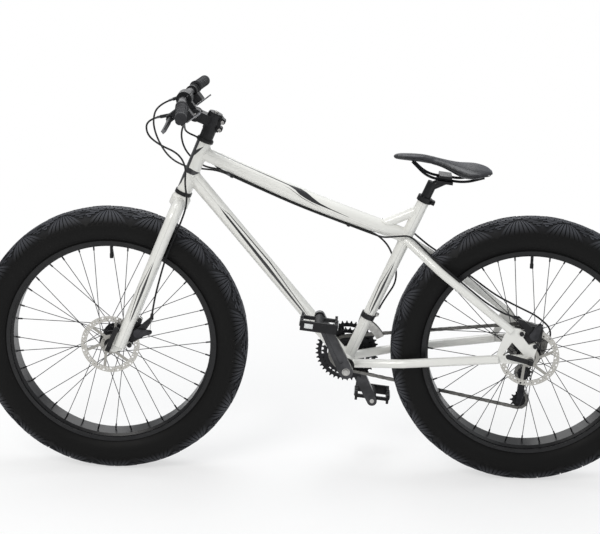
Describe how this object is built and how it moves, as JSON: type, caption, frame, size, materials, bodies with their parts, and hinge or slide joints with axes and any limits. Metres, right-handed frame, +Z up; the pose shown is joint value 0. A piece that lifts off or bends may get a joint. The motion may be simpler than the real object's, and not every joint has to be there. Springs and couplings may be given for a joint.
{
  "type": "fat tire bike",
  "caption": "Diamond-frame bicycle on very wide tyres, with cable disc brakes, derailleur gears, a rigid fork, flat handlebar, platform pedals and a padded saddle.",
  "frame": {"origin": "on the ground, midway between the axles, on the centre plane", "axes": "+X forward, +Y to the rider's left, +Z up"},
  "size_m": [1.871, 0.5696, 1.0608],
  "materials": {
    "frame_paint": "gloss pearl white",
    "tyre": "matt black rubber",
    "black_alloy": "satin black",
    "black_cast": "matt black",
    "black_steel": "black coated",
    "bare_steel": "bright",
    "graphite_alloy": "dark anodised",
    "grip_rubber": "matt",
    "saddle_cover": "satin",
    "plastic": "matt",
    "cable": "satin"
  },
  "bodies": {
    "frame": {"head_tube": "frame_paint", "top_tube": "frame_paint", "down_tube": "frame_paint", "seat_tube": "frame_paint", "seat_tube_brace": "frame_paint", "seat_stays": "frame_paint", "chain_stays": "frame_paint", "bottom_bracket_shell": "frame_paint", "dropouts": "frame_paint", "headset_cups": "black_alloy", "bottom_bracket_cups": "bare_steel", "seat_collar": "black_alloy", "front_derailleur": "bare_steel", "rear_caliper": "black_cast", "rear_axle": "bare_steel", "rear_derailleur": "black_cast", "frame_cables": "cable", "cable_loops": "cable", "chain": "bare_steel"},
    "seat": {"seatpost": "black_alloy", "saddle_rails": "black_steel", "saddle": "saddle_cover"},
    "steering": {"fork_crown": "frame_paint", "fork_legs": "frame_paint", "stem_base": "black_alloy", "stem_arm": "black_alloy", "handlebar": "black_alloy", "grips": "grip_rubber", "control_mounts": "black_cast", "front_caliper": "black_cast", "front_axle": "bare_steel", "front_brake_cable": "cable"},
    "front_wheel": {"front_tyre": "tyre", "front_rim": "black_alloy", "front_spokes": "black_steel", "front_hub": "black_cast", "front_rotor": "bare_steel"},
    "rear_wheel": {"rear_tyre": "tyre", "rear_rim": "black_alloy", "rear_spokes": "black_steel", "rear_hub": "black_cast", "rear_rotor": "bare_steel"},
    "cranks": {"crank_axles": "bare_steel", "crank_arms": "graphite_alloy", "chainrings": "black_steel"},
    "left_pedal": {"pedal_left": "plastic"},
    "right_pedal": {"pedal_right": "plastic"},
    "cassette": {"cassette": "bare_steel"},
    "left_brake_lever": {"brake_lever_left": "black_cast"},
    "right_brake_lever": {"brake_lever_right": "black_cast"},
    "left_shift_paddle": {"shift_paddle_left": "plastic"},
    "right_shift_paddle": {"shift_paddle_right": "plastic"},
    "front_caliper_arm": {"front_caliper_arm": "black_cast"},
    "rear_caliper_arm": {"rear_caliper_arm": "black_cast"},
    "front_quick_lever": {"front_quick_lever": "black_alloy"},
    "rear_quick_lever": {"rear_quick_lever": "black_alloy"},
    "front_derailleur_cage": {"front_derailleur_cage": "bare_steel"},
    "derailleur_cage": {"derailleur_cage": "bare_steel"},
    "guide_pulley": {"guide_pulley": "plastic"},
    "tension_pulley": {"tension_pulley": "plastic"}
  },
  "joints": [
    {"name": "steering", "type": "hinge", "parent": "frame", "child": "steering", "pos_m": [0.33782, 0, 0.86102], "axis": [-0.3778, 0, 0.9259], "range_deg": [-60, 60], "deforming": ["cable_loops", "front_brake_cable"]},
    {"name": "front_wheel_spin", "type": "hinge", "parent": "steering", "child": "front_wheel", "pos_m": [0.565, 0, 0.3705], "axis": [0, 1, 0], "continuous": true},
    {"name": "rear_wheel_spin", "type": "hinge", "parent": "frame", "child": "rear_wheel", "pos_m": [-0.565, 0, 0.3705], "axis": [0, 1, 0], "continuous": true},
    {"name": "crank_spin", "type": "hinge", "parent": "frame", "child": "cranks", "pos_m": [-0.076, 0, 0.327], "axis": [0, 1, 0], "continuous": true, "deforming": ["chain"]},
    {"name": "cassette_spin", "type": "hinge", "parent": "frame", "child": "cassette", "pos_m": [-0.565, 0, 0.3705], "axis": [0, 1, 0], "continuous": true},
    {"name": "left_pedal_spin", "type": "hinge", "parent": "cranks", "child": "left_pedal", "pos_m": [-0.00335, 0.155, 0.48069], "axis": [0, 1, 0], "continuous": true},
    {"name": "right_pedal_spin", "type": "hinge", "parent": "cranks", "child": "right_pedal", "pos_m": [-0.14865, -0.155, 0.17331], "axis": [0, 1, 0], "continuous": true},
    {"name": "left_brake_lever_swing", "type": "hinge", "parent": "steering", "child": "left_brake_lever", "pos_m": [0.38531, 0.14942, 1.01408], "axis": [0.6131, 0.0779, 0.7862], "range_deg": [0, 15], "stiffness_Nm_per_rad": 1.5, "springref_deg": -8.59},
    {"name": "left_shift_paddle_swing", "type": "hinge", "parent": "steering", "child": "left_shift_paddle", "pos_m": [0.34002, 0.11954, 1.00306], "axis": [-0.6131, -0.0779, -0.7862], "range_deg": [0, 25], "stiffness_Nm_per_rad": 0.4, "springref_deg": -5.73},
    {"name": "right_brake_lever_swing", "type": "hinge", "parent": "steering", "child": "right_brake_lever", "pos_m": [0.38531, -0.14942, 1.01408], "axis": [-0.6131, 0.0779, -0.7862], "range_deg": [0, 15], "stiffness_Nm_per_rad": 1.5, "springref_deg": -8.59},
    {"name": "right_shift_paddle_swing", "type": "hinge", "parent": "steering", "child": "right_shift_paddle", "pos_m": [0.34002, -0.11954, 1.00306], "axis": [0.6131, -0.0779, 0.7862], "range_deg": [0, 25], "stiffness_Nm_per_rad": 0.4, "springref_deg": -5.73},
    {"name": "front_caliper_arm_swing", "type": "hinge", "parent": "steering", "child": "front_caliper_arm", "pos_m": [0.48545, 0.0737, 0.41103], "axis": [0, 1, 0], "range_deg": [0, 20]},
    {"name": "rear_caliper_arm_swing", "type": "hinge", "parent": "frame", "child": "rear_caliper_arm", "pos_m": [-0.57127, 0.099, 0.44223], "axis": [0, 1, 0], "range_deg": [0, 20]},
    {"name": "front_derailleur_swing", "type": "hinge", "parent": "frame", "child": "front_derailleur_cage", "pos_m": [-0.14445, -0.044, 0.44993], "axis": [0.9178, 0, 0.3971], "range_deg": [0, 9]},
    {"name": "derailleur_cage_swing", "type": "hinge", "parent": "frame", "child": "derailleur_cage", "pos_m": [-0.565, -0.054, 0.2845], "axis": [0, 1, 0], "range_deg": [-25, 12], "stiffness_Nm_per_rad": 1.5},
    {"name": "guide_pulley_spin", "type": "hinge", "parent": "derailleur_cage", "child": "guide_pulley", "pos_m": [-0.565, -0.054, 0.2845], "axis": [0, 1, 0], "continuous": true},
    {"name": "tension_pulley_spin", "type": "hinge", "parent": "derailleur_cage", "child": "tension_pulley", "pos_m": [-0.55609, -0.054, 0.20299], "axis": [0, 1, 0], "continuous": true},
    {"name": "seatpost_slide", "type": "slide", "parent": "frame", "child": "seat", "axis": [-0.3971, 0, 0.9178], "range_m": [-0.02, 0.08]},
    {"name": "front_quick_lever_swing", "type": "hinge", "parent": "steering", "child": "front_quick_lever", "pos_m": [0.565, 0.0909, 0.3705], "axis": [-0.9259, 0, -0.3778], "range_deg": [0, 165]},
    {"name": "rear_quick_lever_swing", "type": "hinge", "parent": "frame", "child": "rear_quick_lever", "pos_m": [-0.565, 0.1094, 0.3705], "axis": [-0.2419, 0, 0.9703], "range_deg": [0, 165]}
  ],
  "couplings": [
    {"joint": "cassette_spin", "follows": "crank_spin", "ratio": 0.85714},
    {"joint": "guide_pulley_spin", "follows": "crank_spin", "ratio": -2.1818},
    {"joint": "tension_pulley_spin", "follows": "crank_spin", "ratio": 2.1818},
    {"joint": "front_caliper_arm_swing", "follows": "left_brake_lever_swing", "ratio": 1.3},
    {"joint": "rear_caliper_arm_swing", "follows": "right_brake_lever_swing", "ratio": 1.3}
  ]
}
